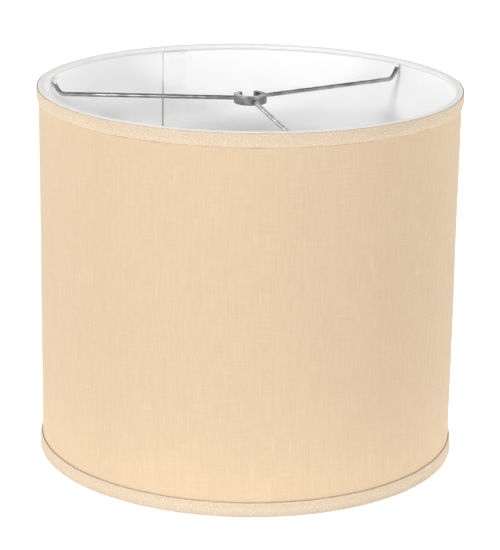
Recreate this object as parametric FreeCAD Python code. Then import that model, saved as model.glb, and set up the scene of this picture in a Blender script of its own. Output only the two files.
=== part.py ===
import FreeCAD, Part
import math
import os

# Hardback drum lamp shade with a recessed spider fitter, in millimetres.
# Linen cloth is laminated to a white styrene sheet, and the sheet is rolled into a drum and lapped
# over itself at the back. A steel wire ring stiffens each end. White tape binds the wire to the
# sheet's edge, and a folded linen trim covers the tape's outer leg. Three wire arms carry a slotted
# hub, which slips over a harp's post.
# Origin: centre of the bottom rim, on the plane that it stands on. +Z is up, and -Y is the front.

# The drum
HEIGHT = 270.0
RIM_RADIUS = 152.4
COVER_RADIUS = 150.9
CLOTH_THICKNESS = 0.45
LINER_THICKNESS = 0.5
LINER_RADIUS = COVER_RADIUS - CLOTH_THICKNESS
DRUM_INNER_RADIUS = LINER_RADIUS - LINER_THICKNESS

# The lap where the sheet's ends meet: azimuths from +X, anticlockwise seen from above
LAP_OUTER_EDGE = 113.1
LAP_INNER_EDGE = 116.9
LAP_RAMP = 4.0
LAP_GAP = 0.15
SEAM_TAPE_THICKNESS = 0.15
SEAM_TAPE_INSET = 0.3
LAP_DROP = CLOTH_THICKNESS + LINER_THICKNESS + SEAM_TAPE_THICKNESS
LAP_NOTCH = 4.8

# The rings and the white tape that binds them
RING_WIRE_RADIUS = 1.6
TAPE_THICKNESS = 0.5
RING_GAP = 0.05
RING_RADIUS = DRUM_INNER_RADIUS - RING_GAP - RING_WIRE_RADIUS
RING_DEPTH = TAPE_THICKNESS + RING_WIRE_RADIUS
TAPE_LEG = 7.0

# The linen trim
TRIM_WIDTH = 10.3
TRIM_STEP = 0.35
TRIM_RIM_ROUND = 0.7
TRIM_HEM_ROUND = 0.5

# The spider. Each arm has a side, an azimuth, the depth at which it leaves the hub, its lower bend's
# distance from the axis and depth, and the depth at which it reaches the liner and turns up.
ARMS = (
    ("left", 165.5, 10.4, 143.6, 17.4, 9.4),
    ("right", 41.5, 9.7, 142.4, 14.6, 6.3),
    ("front", 286.0, 10.7, 143.0, 15.4, 7.5),
)
ARM_WIRE_RADIUS = 1.6
ARM_BEND_RADII = (6.0, 3.0)
ARM_END_RADIUS = 148.2
ARM_END_DEPTH = 5.4
WELD_RADIUS = 1.7
WELD_DISTANCE = 148.15
WELD_DEPTH = 4.5

# The hub, a flat ring with a slot opposite the front arm
HUB_RADIUS = 11.8
HUB_BORE_RADIUS = 8.0
HUB_HEIGHT = 6.4
HUB_DEPTH = 10.4
HUB_EDGE_ROUND = 0.6
HUB_CORNER_ROUND = 1.4
HUB_SLOT_WIDTH = 8.8
HUB_SLOT_AZIMUTH = 103.5
ARM_HOLE_MOUTH = 2.0
ARM_HOLE_COUNTERSINK = 0.6

CENTRE = FreeCAD.Vector(0, 0, 0)
UP = FreeCAD.Vector(0, 0, 1)


def polar(radius, azimuth, height=0.0):
    """A point at a distance from the axis, an azimuth in degrees and a height."""
    angle = math.radians(azimuth)
    return FreeCAD.Vector(radius * math.cos(angle), radius * math.sin(angle), height)


def section_point(radius, depth):
    """A point of a rim's section, by its distance from the axis and its depth below the rim."""
    return FreeCAD.Vector(radius, 0, HEIGHT - depth)


def line(start, end):
    return Part.LineSegment(start, end).toShape()


def arc(start, middle, end):
    return Part.Arc(start, middle, end).toShape()


def corner_arc(centre, radius, start_angle, end_angle):
    """An arc of a rim's section about a centre. Angles are from outwards, anticlockwise to up."""
    points = []
    for angle in (start_angle, (start_angle + end_angle) / 2, end_angle):
        turn = math.radians(angle)
        points.append(centre + FreeCAD.Vector(radius * math.cos(turn), 0, radius * math.sin(turn)))
    return arc(*points)


def joined(pieces):
    """A wire through arcs and corner points, with straight lines wherever they don't touch."""
    edges = []
    ends = []
    for piece in pieces:
        if isinstance(piece, FreeCAD.Vector):
            ends.append((piece, piece, None))
        else:
            ends.append((piece.firstVertex(True).Point, piece.lastVertex(True).Point, piece))
    for index, (first, last, edge) in enumerate(ends):
        if edge is not None:
            edges.append(edge)
        following = ends[(index + 1) % len(ends)][0]
        if last.distanceToPoint(following) > 1e-6:
            edges.append(line(last, following))
    return Part.Wire(edges)


def turned(pieces):
    """The solid that a section makes when it turns about the shade's axis."""
    return Part.Face(joined(pieces)).revolve(CENTRE, UP, 360)


def at_bottom(shape):
    """The same rim piece at the bottom of the drum."""
    return shape.mirror(FreeCAD.Vector(0, 0, HEIGHT / 2), UP)


def raised(outline, inset):
    """A plan outline made into a wall that stops short of both rims."""
    wall = Part.Face(outline).extrude(FreeCAD.Vector(0, 0, HEIGHT - 2 * inset))
    wall.translate(FreeCAD.Vector(0, 0, inset))
    return wall


def band_outline(outer, inner, start, end):
    """The plan of a curved wall between two radii and two azimuths."""
    middle = (start + end) / 2
    return joined([
        arc(polar(outer, start), polar(outer, middle), polar(outer, end)),
        arc(polar(inner, end), polar(inner, middle), polar(inner, start)),
    ])


def rolled_sheet(outer, inner):
    """A sheet rolled once round, whose far end dips inwards and runs under its near end."""
    dipped = LAP_OUTER_EDGE - LAP_GAP
    ramp = dipped - LAP_RAMP
    middle = (dipped + LAP_INNER_EDGE) / 2
    drum = raised(band_outline(outer, inner, LAP_OUTER_EDGE, ramp + 360), TAPE_THICKNESS)
    low_outer = outer - LAP_DROP
    low_inner = inner - LAP_DROP
    tuck_outline = joined([
        polar(inner, ramp),
        polar(outer, ramp),
        arc(polar(low_outer, dipped), polar(low_outer, middle), polar(low_outer, LAP_INNER_EDGE)),
        arc(polar(low_inner, LAP_INNER_EDGE), polar(low_inner, middle), polar(low_inner, dipped)),
    ])
    return drum.fuse(raised(tuck_outline, LAP_NOTCH))


def seam_tape():
    """The double-sided tape that holds the two ends of the sheet together in the lap."""
    start = LAP_OUTER_EDGE + SEAM_TAPE_INSET
    end = LAP_INNER_EDGE - SEAM_TAPE_INSET
    inner = DRUM_INNER_RADIUS - SEAM_TAPE_THICKNESS
    return raised(band_outline(DRUM_INNER_RADIUS, inner, start, end), LAP_NOTCH)


def ring():
    """The top ring, bent from wire and butt-welded flush."""
    return Part.makeTorus(RING_RADIUS, RING_WIRE_RADIUS, section_point(0, RING_DEPTH), UP)


def binding():
    """The white tape: up outside the sheet, over its edge and round under the wire."""
    centre = section_point(RING_RADIUS, RING_DEPTH)
    outer_leg = COVER_RADIUS + TAPE_THICKNESS
    shoulder = section_point(COVER_RADIUS, TAPE_THICKNESS)
    tucked_depth = RING_DEPTH + RING_WIRE_RADIUS
    return turned([
        corner_arc(shoulder, TAPE_THICKNESS, 0, 90),
        corner_arc(centre, RING_WIRE_RADIUS + TAPE_THICKNESS, 90, 270),
        section_point(DRUM_INNER_RADIUS - RING_GAP, tucked_depth + TAPE_THICKNESS),
        section_point(DRUM_INNER_RADIUS - RING_GAP, tucked_depth),
        corner_arc(centre, RING_WIRE_RADIUS, 270, 90),
        shoulder,
        section_point(COVER_RADIUS, TAPE_LEG),
        section_point(outer_leg, TAPE_LEG),
    ])


def trim():
    """The folded linen trim, which steps over the end of the white tape's outer leg."""
    rim_round = section_point(RIM_RADIUS - TRIM_RIM_ROUND, TRIM_STEP + TRIM_RIM_ROUND)
    hem_round = section_point(RIM_RADIUS - TRIM_HEM_ROUND, TRIM_WIDTH - TRIM_HEM_ROUND)
    return turned([
        section_point(COVER_RADIUS + TAPE_THICKNESS, TRIM_STEP),
        corner_arc(rim_round, TRIM_RIM_ROUND, 90, 0),
        corner_arc(hem_round, TRIM_HEM_ROUND, 0, -90),
        section_point(COVER_RADIUS, TRIM_WIDTH),
        section_point(COVER_RADIUS, TAPE_LEG),
        section_point(COVER_RADIUS + TAPE_THICKNESS, TAPE_LEG),
    ])


def bend(before, corner, after, radius):
    """The arc that rounds a corner of a bent wire."""
    backwards = (before - corner).normalize()
    onwards = (after - corner).normalize()
    half_angle = backwards.getAngle(onwards) / 2
    tangent = radius / math.tan(half_angle)
    bisector = (backwards + onwards).normalize()
    middle = corner + bisector * (radius / math.sin(half_angle) - radius)
    return arc(corner + backwards * tangent, middle, corner + onwards * tangent)


def bent_path(points, radii):
    """An open path through points, with a bend at each inner one."""
    edges = []
    last = points[0]
    for before, corner, after, radius in zip(points, points[1:], points[2:], radii):
        rounded = bend(before, corner, after, radius)
        edges.append(line(last, rounded.firstVertex(True).Point))
        edges.append(rounded)
        last = rounded.lastVertex(True).Point
    edges.append(line(last, points[-1]))
    return Part.Wire(edges)


def arm(azimuth, hub_depth, bend_distance, bend_depth, wall_depth):
    """A wire from the hub's bore out to a rounded bend, up to the liner and on to the top ring."""
    points = [
        section_point(HUB_BORE_RADIUS / 2, hub_depth),
        section_point(bend_distance, bend_depth),
        section_point(ARM_END_RADIUS, wall_depth),
        section_point(ARM_END_RADIUS, ARM_END_DEPTH),
    ]
    section = Part.Circle(points[0], points[1] - points[0], ARM_WIRE_RADIUS).toShape()
    wire = bent_path(points, ARM_BEND_RADII).makePipeShell([Part.Wire([section])], True, False)
    wire.rotate(CENTRE, UP, azimuth)
    return wire.cut(Part.makeCylinder(HUB_BORE_RADIUS, HEIGHT, CENTRE, UP))


def weld(azimuth, arm_wire, top_ring):
    """The bead between an arm's end and the underside of the top ring."""
    bead = Part.makeSphere(WELD_RADIUS)
    bead.translate(polar(WELD_DISTANCE, azimuth, HEIGHT - WELD_DEPTH))
    return bead.cut(top_ring).cut(arm_wire)


def arm_hole(azimuth, depth):
    """The countersunk mouth of the hole that an arm's end is staked into."""
    mouth = Part.makeCone(
        ARM_WIRE_RADIUS,
        ARM_HOLE_MOUTH,
        ARM_HOLE_COUNTERSINK,
        polar(HUB_RADIUS - ARM_HOLE_COUNTERSINK, azimuth, HEIGHT - depth),
        polar(1, azimuth),
    )
    clearance = Part.makeCylinder(
        ARM_HOLE_MOUTH,
        HUB_RADIUS - HUB_BORE_RADIUS,
        polar(HUB_RADIUS, azimuth, HEIGHT - depth),
        polar(1, azimuth),
    )
    return mouth.fuse(clearance)


def outer_corners(body):
    """The upright edges where the hub's slot opens through its outside."""
    upright = [edge for edge in body.Edges if abs(edge.Length - HUB_HEIGHT) < 1e-6]
    return [edge for edge in upright if math.hypot(*edge.CenterOfMass[0:2]) > HUB_RADIUS - 1e-3]


def outer_rims(body):
    """The edges round the hub's top and bottom that lie outside its bore."""
    middle = (HUB_RADIUS + HUB_BORE_RADIUS) / 2
    flat = [edge for edge in body.Edges if abs(edge.BoundBox.ZLength) < 1e-6]
    return [edge for edge in flat if math.hypot(*edge.valueAt(edge.FirstParameter)[0:2]) > middle]


def hub(arm_wires):
    """A flat steel ring with a round-cornered slot at the back and a hole for each arm."""
    bottom = polar(0, 0, HEIGHT - HUB_DEPTH - HUB_HEIGHT / 2)
    body = Part.makeCylinder(HUB_RADIUS, HUB_HEIGHT, bottom, UP)
    body = body.cut(Part.makeCylinder(HUB_BORE_RADIUS, HUB_HEIGHT, bottom, UP))
    slot = Part.makeBox(HUB_RADIUS + 1, HUB_SLOT_WIDTH, HUB_HEIGHT)
    slot.translate(bottom + FreeCAD.Vector(0, -HUB_SLOT_WIDTH / 2, 0))
    slot.rotate(CENTRE, UP, HUB_SLOT_AZIMUTH)
    body = body.cut(slot)
    body = body.makeFillet(HUB_CORNER_ROUND, outer_corners(body))
    body = body.makeFillet(HUB_EDGE_ROUND, outer_rims(body))
    for (side, azimuth, hub_depth, *_), arm_wire in zip(ARMS, arm_wires):
        body = body.cut(arm_hole(azimuth, hub_depth)).cut(arm_wire)
    return body


def build():
    """Every node's shape, by its name."""
    top_ring = ring()
    arm_wires = [arm(*bends) for side, *bends in ARMS]
    nodes = {
        "fabric_cover": rolled_sheet(COVER_RADIUS, LINER_RADIUS),
        "liner": rolled_sheet(LINER_RADIUS, DRUM_INNER_RADIUS),
        "seam_tape": seam_tape(),
        "top_ring": top_ring,
        "bottom_ring": at_bottom(top_ring),
        "spider_hub": hub(arm_wires),
    }
    top_binding = binding()
    bottom_binding = at_bottom(top_binding)
    for (side, azimuth, *_), arm_wire in zip(ARMS, arm_wires):
        bead = weld(azimuth, arm_wire, top_ring)
        top_binding = top_binding.cut(bead)
        nodes["spider_arm_" + side] = arm_wire
        nodes["arm_weld_" + side] = bead
    nodes["top_binding"] = top_binding
    nodes["bottom_binding"] = bottom_binding
    nodes["top_trim"] = trim()
    nodes["bottom_trim"] = at_bottom(nodes["top_trim"])
    return nodes


os.makedirs("parts", exist_ok=True)
for name, shape in build().items():
    shape.exportStep(os.path.join("parts", name + ".step"))
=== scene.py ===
import math

import bpy
from mathutils import Matrix, Vector, noise

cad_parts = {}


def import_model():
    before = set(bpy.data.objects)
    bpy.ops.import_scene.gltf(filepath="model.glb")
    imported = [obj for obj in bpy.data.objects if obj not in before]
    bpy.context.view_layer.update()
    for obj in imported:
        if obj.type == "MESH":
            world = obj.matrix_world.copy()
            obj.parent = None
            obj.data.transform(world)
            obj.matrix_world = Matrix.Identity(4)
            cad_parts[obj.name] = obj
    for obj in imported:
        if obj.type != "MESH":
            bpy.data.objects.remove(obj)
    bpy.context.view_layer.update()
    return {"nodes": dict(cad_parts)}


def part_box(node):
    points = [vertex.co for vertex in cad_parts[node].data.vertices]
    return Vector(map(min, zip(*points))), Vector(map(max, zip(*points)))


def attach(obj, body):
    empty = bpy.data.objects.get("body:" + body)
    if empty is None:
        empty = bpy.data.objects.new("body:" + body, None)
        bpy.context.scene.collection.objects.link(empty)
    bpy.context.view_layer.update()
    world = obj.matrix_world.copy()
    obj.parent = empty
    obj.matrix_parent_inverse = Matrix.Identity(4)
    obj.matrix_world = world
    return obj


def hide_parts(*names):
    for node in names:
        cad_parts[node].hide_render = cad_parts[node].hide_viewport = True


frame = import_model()

# A linen drum lamp shade on a pale floor, in metres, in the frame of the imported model.
# The cloth, the liner, the trims, the tapes and the weld beads are built here around the frame.
# So is the white tape wound down each arm's end, which stands for no node of its own.
# The hub, the arms and the rings are the frame's own.

NODES = frame["nodes"]
MM = 0.001

# The lap at the back, as azimuths in degrees from +X, anticlockwise from above
LAP_OUTER_EDGE = 113.1
LAP_INNER_EDGE = 116.9
LAP_GAP = 0.15
LAP_RAMP = 4.0
LAP_CORNER = 2.0
LAP_NOTCH = 4.1 * MM
SEAM_TAPE_INSET = 0.3
SEAM_TAPE_OVERHANG = 0.22

# Where the trims and the white tapes start beside that lap, and how far each laps over itself
TRIM_START = LAP_OUTER_EDGE - 2.0
TRIM_LAP = 4.6
TAPE_START = LAP_OUTER_EDGE - 6.0
TAPE_LAP = 2.6

# Cloth and tape thicknesses
CLOTH = 0.45 * MM
TAPE = 0.5 * MM
SEAM_TAPE = 0.15 * MM

# How far the hand-rolled drum is out of round, midway between its rings
OUT_OF_ROUND = 0.45 * MM

# How much thinner each trim is along its glued hem than over the rim
HEM_PRESS = 0.55 * MM

# How much the trim's face is crowned, how deep its upper edge is turned under, and its lap's lift
TRIM_CROWN = 0.12 * MM
TRIM_TURN_DEPTH = 4.8 * MM
TRIM_LAP_LIFT = 2.3 * CLOTH

# How far the start of a white tape is tucked in, so that its lap doesn't coincide with it
TAPE_TUCK = 0.06 * MM

# How far down each arm's upright end the white tape is wound, below the rim
WRAP_DEPTHS = {"left": 8.6 * MM, "right": 5.9 * MM, "front": 7.2 * MM}
WRAP_RADIUS = 2.12 * MM
WRAP_TAPER = 0.30 * MM

# Camera, as fitted to both rims: distance in front, height over the floor and angles in radians
CAMERA_DISTANCE = 1.5627
CAMERA_HEIGHT = 0.6027
CAMERA_YAW = 0.0011
CAMERA_PITCH = 0.2954
CAMERA_ROLL = -0.0153
CAMERA_LENS = 145.84

# Soft boxes: name, place, point that it faces, width and power.
# front_soft stands low, behind the camera.
LIGHTS = (
    ("left_key", (-1.10, -1.10, 0.66), (0.0, 0.0, 0.20), 0.15, 9.4),
    ("right_key", (1.10, -1.10, 0.66), (0.0, 0.0, 0.20), 0.15, 7.5),
    ("front_soft", (-0.15, -1.75, 0.36), (0.0, 0.0, 0.16), 0.50, 2.9),
    ("left_fill", (-1.50, -0.70, 0.70), (0.0, 0.0, 0.15), 1.20, 6.0),
    ("right_fill", (1.50, -0.70, 0.70), (0.0, 0.0, 0.15), 1.20, 2.6),
    ("right_edge", (1.20, 1.10, 0.50), (0.0, 0.0, 0.13), 0.80, 9.5),
    ("left_edge", (-1.20, 1.10, 0.50), (0.0, 0.0, 0.13), 0.80, 6.0),
    ("back_high", (0.15, 1.10, 1.00), (0.0, -0.10, 0.25), 0.70, 3.6),
)
WORLD_STRENGTH = 0.33

# The floor's own glow, everywhere but under the shade
FLOOR_GLOW = 0.30

# A brighter oval pool round the shade: the root of its glow at the foot, its reach from the axis,
# how much narrower it is than deep, and how far from the foot it takes to rise
POOL_GLOW = 1.13
POOL_REACH = 0.46
POOL_SQUEEZE = 1.18
POOL_RIM = 13 * MM

# A further glow which rises between these distances, and keeps the far floor white
SWEEP_GLOW = 0.60
SWEEP_START = 0.5
SWEEP_END = 1.5
FLOOR_HALF = 6.0


# ---------------------------------------------------------------- places from the frame

def reach(node):
    """The least and greatest distance of a CAD node's points from the shade's axis."""
    distances = [math.hypot(v.co.x, v.co.y) for v in NODES[node].data.vertices]
    return min(distances), max(distances)


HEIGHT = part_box("top_binding")[1].z
COVER_RADIUS = reach("fabric_cover")[1]
LINER_RADIUS = reach("liner")[1]
RIM_RADIUS = reach("top_trim")[1]
DRUM_INNER_RADIUS = reach("seam_tape")[1]
SHEET_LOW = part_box("fabric_cover")[0].z
SHEET_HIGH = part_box("fabric_cover")[1].z
TRIM_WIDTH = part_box("bottom_trim")[1].z
TRIM_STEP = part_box("bottom_trim")[0].z
TAPE_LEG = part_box("bottom_binding")[1].z
RING_RADIUS = sum(reach("bottom_ring")) / 2
RING_DEPTH = (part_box("bottom_ring")[0].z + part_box("bottom_ring")[1].z) / 2
WIRE_RADIUS = (reach("bottom_ring")[1] - reach("bottom_ring")[0]) / 2
LAP_DROP = COVER_RADIUS - DRUM_INNER_RADIUS + SEAM_TAPE


# ---------------------------------------------------------------- mesh helpers

def smoothstep(value):
    value = min(max(value, 0.0), 1.0)
    return value * value * (3.0 - 2.0 * value)


def polar(radius, azimuth, height):
    angle = math.radians(azimuth)
    return Vector((radius * math.cos(angle), radius * math.sin(angle), height))


def arc_points(centre, radius, start, end, count):
    """Points (radius from the axis, height) along an arc of a section. Angles are in degrees."""
    points = []
    for index in range(count + 1):
        angle = math.radians(start + (end - start) * index / count)
        points.append((centre[0] + radius * math.cos(angle), centre[1] + radius * math.sin(angle)))
    return points


def line_points(start, end, count):
    """Points along a straight stretch of a section, without its last one."""
    return [
        (
            start[0] + (end[0] - start[0]) * index / count,
            start[1] + (end[1] - start[1]) * index / count,
        )
        for index in range(count)
    ]


def thickened(path, thickness):
    """A closed section round an open path, and each point's distance along the path."""
    sides = ([], [])
    travelled = [0.0]
    for before, after in zip(path, path[1:]):
        travelled.append(travelled[-1] + math.dist(before, after))
    for index, point in enumerate(path):
        before = path[max(index - 1, 0)]
        after = path[min(index + 1, len(path) - 1)]
        length = math.dist(before, after)
        across = ((before[1] - after[1]) / length, (after[0] - before[0]) / length)
        for side, sign in zip(sides, (1, -1)):
            half = sign * thickness / 2
            side.append((point[0] + across[0] * half, point[1] + across[1] * half))
    return sides[0] + sides[1][::-1], travelled + travelled[::-1]


def add_object(name, vertices, faces, uvs):
    """A smooth-shaded mesh object with a UV map in metres."""
    mesh = bpy.data.meshes.new(name)
    mesh.from_pydata([tuple(v) for v in vertices], [], faces)
    layer = mesh.uv_layers.new(name="cloth")
    for polygon in mesh.polygons:
        polygon.use_smooth = True
        for corner, loop in enumerate(polygon.loop_indices):
            layer.data[loop].uv = uvs[polygon.index][corner]
    mesh.validate()
    piece = bpy.data.objects.new(name, mesh)
    bpy.context.scene.collection.objects.link(piece)
    return piece


def walls(rows, count, uv_at):
    """Faces between neighbouring rings of count points, and each corner's place on the cloth."""
    faces, uvs = [], []
    for row in range(rows):
        for index in range(count):
            corners = ((row, index), (row + 1, index), (row + 1, index + 1), (row, index + 1))
            faces.append(tuple(ring * count + point % count for ring, point in corners))
            uvs.append([uv_at(ring, point) for ring, point in corners])
    return faces, uvs


def swept(name, section_at, azimuths):
    """A strip whose closed section follows the rim, with its two ends capped."""
    vertices, around, along = [], [], []
    for azimuth in azimuths:
        section, travelled = section_at(azimuth)
        count = len(section)
        vertices += [polar(radius, azimuth, height) for radius, height in section]
        around.append(math.radians(azimuth) * COVER_RADIUS)
        along.append(travelled)

    def uv_at(row, point):
        return around[row], along[row][point % count]

    last = len(azimuths) - 1
    faces, uvs = walls(last, count, uv_at)
    for row, direction in ((0, 1), (last, -1)):
        for index in range(count // 2 - 1):
            corners = (index, index + 1, count - 2 - index, count - 1 - index)[::direction]
            faces.append(tuple(row * count + corner for corner in corners))
            uvs.append([uv_at(row, corner) for corner in corners])
    return add_object(name, vertices, faces, uvs)


def capped_tube(name, vertices, count, cell):
    """A closed tube of rings of count points. cell is the size of one face on the cloth."""
    rows = len(vertices) // count - 1
    faces, uvs = walls(rows, count, lambda row, point: (cell[0] * point, cell[1] * row))
    for cap in (range(count), range(len(vertices) - 1, rows * count - 1, -1)):
        faces.append(tuple(cap))
        uvs.append([(0, 0)] * count)
    return add_object(name, vertices, faces, uvs)


def steps(start, end, size):
    """Evenly spaced azimuths from start to end, about size degrees apart."""
    count = max(1, round((end - start) / size))
    return [start + (end - start) * index / count for index in range(count + 1)]


def ripple(azimuth, seed, *waves):
    """Noise that runs unbroken round a rim. Each wave is a height, a fineness and a shift."""
    turn = math.radians(azimuth)
    ring = Vector((math.cos(turn), math.sin(turn), seed))
    return sum(
        height * noise.noise(ring * fineness + Vector((0, 0, shift)))
        for height, fineness, shift in waves
    )


def upright_section(low, high, rows, radius_at, thickness):
    """The closed section of a sheet that stands on edge, and each point's height on it."""
    heights = [low + (high - low) * row / rows for row in range(rows + 1)]
    outside = [(radius_at(z), z) for z in heights]
    inside = [(radius - thickness, z) for radius, z in outside]
    return outside + inside[::-1], heights + heights[::-1]


# ---------------------------------------------------------------- cloth and liner

def hand_rolled(azimuth, height):
    """How far a hand-rolled drum is out of round at a point: nothing at the rings."""
    angle = math.radians(azimuth)
    hold = math.sin(math.pi * min(max(height / HEIGHT, 0.0), 1.0))
    place = Vector((2.2 * math.cos(angle), 2.2 * math.sin(angle), height * 9.0))
    return hold * OUT_OF_ROUND * noise.noise(place)


def sheet_drop(azimuth):
    """How far the far end of the sheet has dipped inwards, to run under the near end."""
    ramp_start = LAP_OUTER_EDGE + 360 - LAP_GAP - LAP_RAMP
    return LAP_DROP * smoothstep((azimuth - ramp_start) / LAP_RAMP)


def rolled_sheet(name, outer, inner):
    """A sheet rolled once round and under itself, its far corners snipped to clear the rings."""
    ramp_end = LAP_OUTER_EDGE + 360 - LAP_GAP
    ramp_start = ramp_end - LAP_RAMP
    columns = steps(LAP_OUTER_EDGE, ramp_start, 1.5)
    columns += steps(ramp_start, ramp_end, 0.25)[1:]
    columns += steps(ramp_end, LAP_INNER_EDGE + 360, 0.5)[1:]
    snip_start = ramp_start - LAP_CORNER / 2

    def section_at(azimuth):
        snip = LAP_NOTCH * smoothstep((azimuth - snip_start) / LAP_CORNER)
        face = outer - sheet_drop(azimuth)
        return upright_section(
            SHEET_LOW + snip,
            SHEET_HIGH - snip,
            45,
            lambda z: face + hand_rolled(azimuth, z),
            outer - inner,
        )

    return swept(name, section_at, columns)


def seam_tape():
    """The double-sided tape in the lap, whose edge shows beside the liner's cut edge."""
    start = LAP_OUTER_EDGE + SEAM_TAPE_INSET
    end = LAP_INNER_EDGE + SEAM_TAPE_OVERHANG
    low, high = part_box("seam_tape")[0].z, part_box("seam_tape")[1].z

    def section_at(azimuth):
        wander = 0.25 * MM * noise.noise(Vector((azimuth, 0.0, 3.0)))
        section, heights = upright_section(
            low, high, 60, lambda z: DRUM_INNER_RADIUS + hand_rolled(azimuth, z), SEAM_TAPE
        )
        return [(radius, z + wander) for radius, z in section], heights

    return swept("seam_tape_strip", section_at, steps(start, end, 0.2))


# ---------------------------------------------------------------- trims and tapes

def flipped(section, at_top):
    """A section of (radius, depth from the rim) as (radius, height), wound alike at both rims."""
    if at_top:
        return [(radius, HEIGHT - depth) for radius, depth in section]
    return section[::-1]


def trim_path(hem, lift, over):
    """A trim's middle line: down its inner turn, round the hem, up its face and down again."""
    inner = COVER_RADIUS + CLOTH / 2 + over
    inner_high = COVER_RADIUS + TAPE + CLOTH / 2 + over
    outer = RIM_RADIUS - CLOTH / 2 + over
    low_round = (outer - HEM_PRESS - inner) / 2
    high_round = (outer - inner_high) / 2
    low_depth = hem - CLOTH / 2 - low_round
    high_depth = TRIM_STEP + CLOTH / 2 + high_round
    path = line_points((inner, TAPE_LEG + 0.3 * MM), (inner, low_depth), 3)
    path += arc_points((inner + low_round, low_depth), low_round, 180, 0, 8)
    rows = 14
    for row in range(1, rows):
        share = row / rows
        crown = math.sin(math.pi * share) * (TRIM_CROWN + lift)
        pressed = HEM_PRESS * (1 - smoothstep(share / 0.4))
        path.append((outer + crown - pressed, low_depth + (high_depth - low_depth) * share))
    path += arc_points(((inner_high + outer) / 2, high_depth), high_round, 0, -180, 6)
    turn_start = (inner_high, high_depth + 0.3 * MM)
    return path + line_points(turn_start, (inner_high, TRIM_TURN_DEPTH), 4)


def trim_strip(name, at_top, seed):
    """A linen tape with both edges turned under, glued round the rim and lapped at the back."""
    def section_at(azimuth):
        hem = TRIM_WIDTH + ripple(azimuth, seed, (0.22 * MM, 14, 0), (0.12 * MM, 45, 0))
        lift = ripple(azimuth, seed, (0.16 * MM, 22, 5), (0.10 * MM, 60, 9))
        over = smoothstep((azimuth - TRIM_START - 360 + 0.8) / 0.8) * TRIM_LAP_LIFT
        section, travelled = thickened(trim_path(hem, lift, over), CLOTH)
        return flipped(section, at_top), travelled

    return swept(name, section_at, steps(TRIM_START, TRIM_START + 360 + TRIM_LAP, 0.5))


def binding_path(pucker, tuck):
    """A white tape's middle line: up under the trim, over the edge and round under the ring."""
    edge, flat = COVER_RADIUS + TAPE / 2 - tuck, TAPE / 2 + tuck
    bend = TAPE * 0.8
    path = line_points((edge, TAPE_LEG), (edge, flat + bend), 5)
    path += arc_points((edge - bend, flat + bend), bend, 0, -90, 4)[:-1]
    path += line_points((edge - bend, flat), (RING_RADIUS, flat), 3)
    around = WIRE_RADIUS + TAPE / 2
    round_ring = arc_points((RING_RADIUS, RING_DEPTH), around, -90, -270, 14)
    for index, (radius, depth) in enumerate(round_ring):
        scale = 1 + pucker * math.sin(math.pi * index / len(round_ring)) / around
        path.append((
            RING_RADIUS + (radius - RING_RADIUS) * scale,
            RING_DEPTH + (depth - RING_DEPTH) * scale,
        ))
    radius, depth = path[-1]
    under = DRUM_INNER_RADIUS - TAPE / 4 - radius
    return path + [(radius + under * share, depth) for share in (0.5, 1.0)]


def binding_strip(name, at_top, seed):
    """White tape round a rim's edge and ring, its end lapped over its tucked start."""
    def section_at(azimuth):
        pucker = ripple(azimuth, seed, (0.10 * MM, 30, 0), (0.08 * MM, 75, 0))
        pucker += smoothstep((azimuth - TAPE_START - 360 + 0.4) / 0.4) * TAPE / 2
        tuck = TAPE_TUCK * (1 - smoothstep((azimuth - TAPE_START - TAPE_LAP) / 0.8))
        section, travelled = thickened(binding_path(pucker, tuck), TAPE)
        return flipped(section, at_top), travelled

    return swept(name, section_at, steps(TAPE_START, TAPE_START + 360 + TAPE_LAP, 0.5))


def wound_tape(side, seed):
    """The end of the white tape, wound down an arm's upright end over its weld."""
    arm_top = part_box("spider_arm_" + side)[1].z
    end = [v.co for v in NODES["spider_arm_" + side].data.vertices if v.co.z > arm_top - MM / 20]
    middle = sum(end, Vector()) / len(end)
    outwards = Vector((middle.x, middle.y, 0)).normalized()
    high, low = HEIGHT - RING_DEPTH - WIRE_RADIUS / 2, HEIGHT - WRAP_DEPTHS[side]
    rows, around = 16, 28
    vertices = []
    for row in range(rows + 1):
        share = row / rows
        for index in range(around):
            turn = 2 * math.pi * index / around
            towards = Vector((math.cos(turn), math.sin(turn), 0))
            wind = 0.10 * MM * math.sin(turn + share * 9 + seed)
            pucker = 0.12 * MM * noise.noise(towards + Vector((0, 0, share * 3 + seed)))
            swell = WRAP_RADIUS - WRAP_TAPER * share + wind + pucker
            point = middle + towards * swell
            proud = point.dot(outwards) - (DRUM_INNER_RADIUS - TAPE / 4)
            point -= outwards * max(proud, 0)
            vertices.append((point.x, point.y, high + (low - high) * share))
    return capped_tube("wound_tape_" + side, vertices, around, (MM / 2, MM / 3))


# ---------------------------------------------------------------- weld beads

def weld_bead(side, seed):
    """A small lumpy bead where an arm's end meets the ring."""
    low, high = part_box("arm_weld_" + side)
    centre, size = (low + high) / 2, (high - low) / 2
    rings, around = 14, 22
    vertices = []
    for ring in range(rings + 1):
        slope = math.pi * (ring + 0.5) / (rings + 1)
        for index in range(around):
            turn = 2 * math.pi * index / around
            normal = Vector((
                math.sin(slope) * math.cos(turn),
                math.sin(slope) * math.sin(turn),
                math.cos(slope),
            ))
            swell = 1 + 0.10 * noise.noise(normal * 1.7 + Vector((seed, 0, 0)))
            swell += 0.03 * math.sin(9 * normal.z)
            point = Vector((normal.x * size.x, normal.y * size.y, normal.z * size.z))
            vertices.append(centre + point * swell)
    return capped_tube("weld_bead_" + side, vertices, around, (MM, MM))


# ---------------------------------------------------------------- materials

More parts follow.
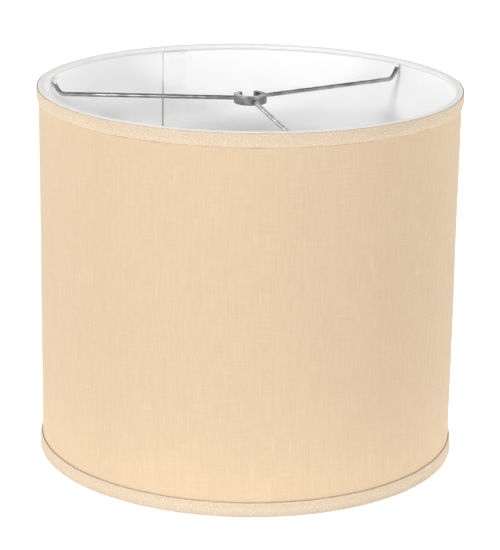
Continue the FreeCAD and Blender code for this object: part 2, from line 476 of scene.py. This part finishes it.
class Graph:
    """A small helper for building a material's node tree."""

    def __init__(self, name):
        self.material = bpy.data.materials.new(name)
        self.material.use_nodes = True
        self.tree = self.material.node_tree
        self.shader = self.tree.nodes["Principled BSDF"]

    def node(self, kind, **settings):
        made = self.tree.nodes.new(kind)
        for key, value in settings.items():
            setattr(made, key, value)
        return made

    def link(self, source, target):
        self.tree.links.new(source, target)

    def put(self, socket, value):
        """Sets a socket to a number, or links it to another socket."""
        if isinstance(value, bpy.types.NodeSocket):
            self.link(value, socket)
        else:
            socket.default_value = value

    def math(self, operation, *values):
        made = self.node("ShaderNodeMath", operation=operation)
        for socket, value in zip(made.inputs, values):
            self.put(socket, value)
        return made.outputs[0]

    def times(self, first, second):
        return self.math("MULTIPLY", first, second)

    def plus(self, first, second):
        return self.math("ADD", first, second)

    def uv(self):
        """The cloth's own coordinates, in metres: along the cloth and across it."""
        split = self.node("ShaderNodeSeparateXYZ")
        self.link(self.node("ShaderNodeUVMap", uv_map="cloth").outputs["UV"], split.inputs[0])
        return split.outputs["X"], split.outputs["Y"]

    def streaks(self, along, across, along_scale, across_scale, detail=2.0, seed=0.0):
        """Noise from 0 to 1 that is stretched differently along each of two coordinates."""
        vector = self.node("ShaderNodeCombineXYZ")
        self.link(self.times(along, along_scale), vector.inputs[0])
        self.link(self.times(across, across_scale), vector.inputs[1])
        vector.inputs[2].default_value = seed
        return self.lumps(vector.outputs[0], 1.0, detail)

    def lumps(self, place, scale, detail=2.0):
        """Even noise from 0 to 1 in space."""
        made = self.node("ShaderNodeTexNoise")
        made.inputs["Scale"].default_value = scale
        made.inputs["Detail"].default_value = detail
        self.link(place, made.inputs["Vector"])
        return made.outputs["Fac"]

    def length(self, place):
        made = self.node("ShaderNodeVectorMath", operation="LENGTH")
        self.link(place, made.inputs[0])
        return made.outputs["Value"]

    def ramp(self, value, low, high):
        """value stretched so that low becomes 0 and high becomes 1, and clipped."""
        made = self.node("ShaderNodeMapRange", clamp=True)
        self.put(made.inputs["Value"], value)
        made.inputs["From Min"].default_value = low
        made.inputs["From Max"].default_value = high
        return made.outputs["Result"]

    def mix(self, factor, first, second):
        made = self.node("ShaderNodeMix", data_type="RGBA")
        self.put(made.inputs["Factor"], factor)
        self.put(made.inputs["A"], first)
        self.put(made.inputs["B"], second)
        return made.outputs["Result"]

    def bump(self, height, distance, strength=1.0):
        made = self.node("ShaderNodeBump")
        made.inputs["Strength"].default_value = strength
        made.inputs["Distance"].default_value = distance
        self.link(height, made.inputs["Height"])
        self.link(made.outputs["Normal"], self.shader.inputs["Normal"])

    def set(self, **values):
        for key, value in values.items():
            self.put(self.shader.inputs[key.replace("_", " ")], value)


def colour(red, green, blue):
    return (red, green, blue, 1.0)


def grey(level):
    return colour(level, level, level)


def linen(name, light, dark, slub, pitch, turned=False, flecked=0.0):
    """Plain-weave slub linen: crossing threads of uneven thickness, with a few thick pale ones."""
    graph = Graph(name)
    along, across = graph.uv()
    if turned:
        along, across = graph.plus(along, across), graph.math("SUBTRACT", across, along)
    warp = graph.streaks(along, across, 1.15 / pitch, 70, seed=1.0)
    weft = graph.streaks(along, across, 60, 1.1 / pitch, seed=2.0)
    threads = graph.plus(graph.times(warp, 0.62), graph.times(weft, 0.38))
    slubs = slub_threads(graph, along, across, pitch)
    cloud = graph.streaks(along, across, 26, 14, seed=5.0)
    band = graph.streaks(along, across, 0.28 / pitch, 16, detail=3.0, seed=14.0)
    shade = graph.times(graph.ramp(threads, 0.36, 0.66), 0.70)
    shade = graph.plus(shade, graph.times(cloud, 0.12))
    shade = graph.plus(shade, graph.times(graph.ramp(band, 0.30, 0.70), 0.24))
    base = graph.mix(shade, dark, light)
    base = graph.mix(graph.times(slubs, 0.45), base, slub)
    height = graph.times(crossings(graph, along, across, pitch), 0.5)
    height = graph.plus(graph.plus(height, graph.times(slubs, 0.9)), threads)
    if flecked:
        base, height = flecks(graph, along, across, flecked, base, height)
    else:
        # Painted shade: a thin dark brown line in the crease along each trim's hem
        base = graph.mix(hem_crease_shade(graph, along, across), base, colour(0.16, 0.09, 0.05))
    graph.bump(height, 0.12 * MM, 0.6)
    graph.set(Base_Color=base, Roughness=0.88, Sheen_Weight=0.13, Sheen_Roughness=0.28)
    graph.set(Specular_IOR_Level=0.25)
    return graph.material


def slub_threads(graph, along, across, pitch):
    """Where the thick pale threads of either direction lie, from 0 to 1."""
    thick_warp = graph.streaks(along, across, 0.70 / pitch, 48, seed=3.0)
    thick_weft = graph.streaks(along, across, 52, 0.75 / pitch, seed=4.0)
    return graph.math("MAXIMUM", graph.ramp(thick_warp, 0.60, 0.74), graph.ramp(thick_weft, 0.63, 0.76))


def crossings(graph, along, across, pitch):
    """The height of the plain weave: one bulge for each crossing of two threads."""
    half_turn = math.pi / pitch
    waves = [graph.math("SINE", graph.times(place, half_turn)) for place in (along, across)]
    return graph.math("ABSOLUTE", graph.times(*waves))


def flecks(graph, along, across, amount, base, height):
    """Coarse pale knots, with painted shade in the low gaps between them, laid over a colour and a
    height.
    """
    knots = graph.streaks(along, across, 780, 780, detail=1.0, seed=6.0)
    pale = graph.times(graph.ramp(knots, 0.60, 0.70), amount)
    base = graph.mix(pale, base, colour(0.95, 0.88, 0.76))
    # Painted shade: the low gaps between the knots are darkened
    shaded = graph.times(graph.ramp(knots, 0.40, 0.30), amount)
    base = graph.mix(shaded, base, colour(0.42, 0.30, 0.19))
    return base, graph.plus(height, graph.times(knots, 1.4))


def hem_crease_shade(graph, along, across):
    """Painted shade in the crease between the cloth and each trim's hem, stronger under the top trim,
    from 0 to 1.
    """
    edge = graph.math("ABSOLUTE", graph.math("SUBTRACT", across, HEIGHT / 2))
    gap = graph.math("SUBTRACT", HEIGHT / 2 - TRIM_WIDTH, edge)
    wander = graph.math("SUBTRACT", graph.streaks(along, across, 160, 1, seed=12.0), 0.5)
    gap = graph.plus(gap, graph.times(wander, 0.5 * MM))
    line = graph.ramp(gap, 0.55 * MM, 0.15 * MM)
    strength = graph.ramp(graph.streaks(along, across, 75, 1, seed=13.0), 0.28, 0.62)
    at_top = graph.ramp(across, HEIGHT / 4, HEIGHT / 2)
    share = graph.plus(graph.times(at_top, 0.66), 0.12)
    return graph.times(graph.times(line, strength), share)


def styrene():
    """The liner: satin white sheet with a faint cast texture, and a faint painted glow that stands in
    for light shining through the cloth.
    """
    graph = Graph("white_styrene")
    along, across = graph.uv()
    mottle = graph.streaks(along, across, 30, 22, seed=7.0)
    grain = graph.streaks(along, across, 1500, 1500, seed=8.0)
    base = graph.mix(graph.ramp(mottle, 0.3, 0.7), grey(0.895), grey(0.93))
    graph.bump(grain, 0.02 * MM, 0.4)
    # Painted light: a faint glow for light that shines through the cloth into the shade
    graph.set(Emission_Color=colour(1.0, 0.99, 0.98), Emission_Strength=0.075)
    graph.set(Base_Color=base, Roughness=0.5, Specular_IOR_Level=0.35)
    return graph.material


def white_tape():
    """The binding: fine white woven tape."""
    graph = Graph("white_binding_tape")
    along, across = graph.uv()
    weft = graph.streaks(along, across, 1400, 120, seed=9.0)
    edge = graph.streaks(along, across, 60, 300, seed=10.0)
    base = graph.mix(graph.ramp(edge, 0.3, 0.7), colour(0.90, 0.895, 0.88), colour(0.95, 0.945, 0.93))
    rib = graph.math("SINE", graph.times(along, 2 * math.pi / (0.7 * MM)))
    graph.bump(graph.plus(graph.times(rib, 0.25), weft), 0.06 * MM, 0.5)
    graph.set(Base_Color=base, Roughness=0.85, Sheen_Weight=0.1)
    return graph.material


def seam_adhesive():
    """The double-sided tape's edge: slightly grey adhesive, lighter towards the top."""
    graph = Graph("seam_adhesive")
    along, across = graph.uv()
    dust = graph.streaks(along, across, 900, 60, seed=11.0)
    base = graph.mix(graph.ramp(dust, 0.3, 0.7), colour(0.42, 0.41, 0.40), colour(0.58, 0.57, 0.55))
    lighter_at_top = graph.ramp(across, HEIGHT * 0.78, HEIGHT * 0.92)
    base = graph.mix(lighter_at_top, base, colour(0.80, 0.80, 0.79))
    graph.bump(dust, 0.05 * MM)
    graph.set(Base_Color=base, Roughness=0.6)
    return graph.material


def steel(name, light, dark, roughness, grain_size, relief=0.04 * MM):
    """Plated steel with a faint tumbled grain and duller patches."""
    graph = Graph(name)
    place = graph.node("ShaderNodeTexCoord").outputs["Object"]
    grain = graph.lumps(place, 1 / grain_size, detail=3.0)
    patch = graph.lumps(place, 120.0)
    base = graph.mix(graph.ramp(patch, 0.35, 0.65), dark, light)
    rough = graph.plus(graph.times(grain, 0.16), roughness - 0.08)
    graph.bump(grain, relief, 0.5)
    graph.set(Base_Color=base, Metallic=1.0, Roughness=rough)
    return graph.material


def pale_floor():
    """A pale light table, which glows everywhere but under the shade."""
    graph = Graph("pale_floor")
    place = graph.node("ShaderNodeTexCoord").outputs["Object"]
    away = graph.length(place)
    squeezed = graph.node("ShaderNodeVectorMath", operation="MULTIPLY")
    graph.link(place, squeezed.inputs[0])
    squeezed.inputs[1].default_value = (POOL_SQUEEZE, 1, 1)
    oval = graph.length(squeezed.outputs[0])
    pool = graph.times(graph.ramp(oval, POOL_REACH, RIM_RADIUS), POOL_GLOW)
    pool = graph.times(pool, pool)
    pool = graph.times(pool, graph.ramp(away, RIM_RADIUS, RIM_RADIUS + POOL_RIM))
    sweep = graph.times(graph.ramp(away, SWEEP_START, SWEEP_END), SWEEP_GLOW)
    glow = graph.plus(graph.plus(pool, FLOOR_GLOW), sweep)
    glow = graph.times(glow, graph.ramp(away, DRUM_INNER_RADIUS, RIM_RADIUS))
    base = graph.mix(graph.lumps(place, 3.0), grey(0.93), grey(0.96))
    graph.set(Base_Color=base, Roughness=0.9, Specular_IOR_Level=0.1)
    graph.set(Emission_Color=grey(1.0), Emission_Strength=glow)
    return graph.material


# ---------------------------------------------------------------- build the pieces

LINEN = linen(
    "beige_linen",
    light=colour(0.575, 0.445, 0.306),
    dark=colour(0.495, 0.378, 0.252),
    slub=colour(0.67, 0.54, 0.40),
    pitch=0.62 * MM,
)
TRIM_LINEN = linen(
    "trim_linen",
    light=colour(0.575, 0.470, 0.352),
    dark=colour(0.50, 0.402, 0.295),
    slub=colour(0.67, 0.58, 0.47),
    pitch=0.5 * MM,
    turned=True,
    flecked=0.46,
)
WHITE_TAPE = white_tape()
STYRENE = styrene()
ADHESIVE = seam_adhesive()
WIRE_STEEL = steel("plated_wire", grey(0.48), grey(0.27), 0.20, 0.5 * MM)
HUB_STEEL = steel("tumbled_hub", grey(0.36), grey(0.15), 0.38, 0.8 * MM, relief=0.20 * MM)
WELD_STEEL = steel("weld_steel", colour(0.50, 0.50, 0.49), colour(0.34, 0.34, 0.33), 0.40, 0.6 * MM)


def place_piece(piece, material, material_slot, *nodes):
    """Gives a piece its material, sets it on the frame and hides the CAD nodes that it stands for."""
    piece.data.materials.append(material)
    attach(piece, "root")
    if nodes:
        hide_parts(*nodes)
    return piece


cover = place_piece(
    rolled_sheet("linen_cover", COVER_RADIUS, LINER_RADIUS), LINEN, "linen_cloth", "fabric_cover"
)
liner = place_piece(
    rolled_sheet("styrene_liner", LINER_RADIUS, DRUM_INNER_RADIUS), STYRENE, "liner_styrene", "liner"
)
place_piece(seam_tape(), ADHESIVE, "clear_tape", "seam_tape")

trims, tapes = [], []
for rim, at_top, seed in (("top", True, 1.3), ("bottom", False, 4.7)):
    strip = trim_strip(rim + "_linen_trim", at_top, seed)
    trims.append(place_piece(strip, TRIM_LINEN, "linen_trim", rim + "_trim"))
    strip = binding_strip(rim + "_white_tape", at_top, seed + 10)
    tapes.append(place_piece(strip, WHITE_TAPE, "binding_tape", rim + "_binding"))
for seed, side in enumerate(("left", "right", "front")):
    place_piece(weld_bead(side, seed), WELD_STEEL, "weld_steel", "arm_weld_" + side)
    place_piece(wound_tape(side, seed), WHITE_TAPE, "binding_tape")

for node_name, steel_material in (
    ("spider_hub", HUB_STEEL),
    ("spider_arm_left", WIRE_STEEL),
    ("spider_arm_right", WIRE_STEEL),
    ("spider_arm_front", WIRE_STEEL),
    ("top_ring", WIRE_STEEL),
    ("bottom_ring", WIRE_STEEL),
):
    NODES[node_name].data.materials.clear()
    NODES[node_name].data.materials.append(steel_material)


# ---------------------------------------------------------------- floor, lights and camera

def floor():
    half = FLOOR_HALF
    mesh = bpy.data.meshes.new("floor")
    corners = [(-half, -half, 0), (half, -half, 0), (half, half, 0), (-half, half, 0)]
    mesh.from_pydata(corners, [], [(0, 1, 2, 3)])
    mesh.materials.append(pale_floor())
    made = bpy.data.objects.new("floor", mesh)
    bpy.context.scene.collection.objects.link(made)


def soft_light(name, place, target, width, power):
    """A square soft box that faces a point."""
    light = bpy.data.lights.new(name, "AREA")
    light.shape = "SQUARE"
    light.size = width
    light.energy = power
    made = bpy.data.objects.new(name, light)
    made.location = place
    made.rotation_euler = (Vector(target) - Vector(place)).to_track_quat("-Z", "Y").to_euler()
    bpy.context.scene.collection.objects.link(made)


def camera():
    forward = Vector((
        math.sin(CAMERA_YAW) * math.cos(CAMERA_PITCH),
        math.cos(CAMERA_YAW) * math.cos(CAMERA_PITCH),
        -math.sin(CAMERA_PITCH),
    ))
    level = forward.cross(Vector((0, 0, 1))).normalized()
    upright = level.cross(forward)
    right = level * math.cos(CAMERA_ROLL) - upright * math.sin(CAMERA_ROLL)
    up = level * math.sin(CAMERA_ROLL) + upright * math.cos(CAMERA_ROLL)
    data = bpy.data.cameras.new("camera")
    data.sensor_width = 36.0
    data.lens = CAMERA_LENS
    made = bpy.data.objects.new("camera", data)
    turn = Matrix((right, up, -forward)).transposed().to_4x4()
    made.matrix_world = Matrix.Translation((0, -CAMERA_DISTANCE, CAMERA_HEIGHT)) @ turn
    bpy.context.scene.collection.objects.link(made)
    bpy.context.scene.camera = made


def world(strength):
    made = bpy.data.worlds.new("studio")
    made.use_nodes = True
    background = made.node_tree.nodes["Background"]
    background.inputs["Color"].default_value = colour(1.0, 1.0, 1.0)
    background.inputs["Strength"].default_value = strength
    bpy.context.scene.world = made


floor()
for light in LIGHTS:
    soft_light(*light)
world(WORLD_STRENGTH)
camera()
bpy.context.scene.view_settings.view_transform = "Standard"
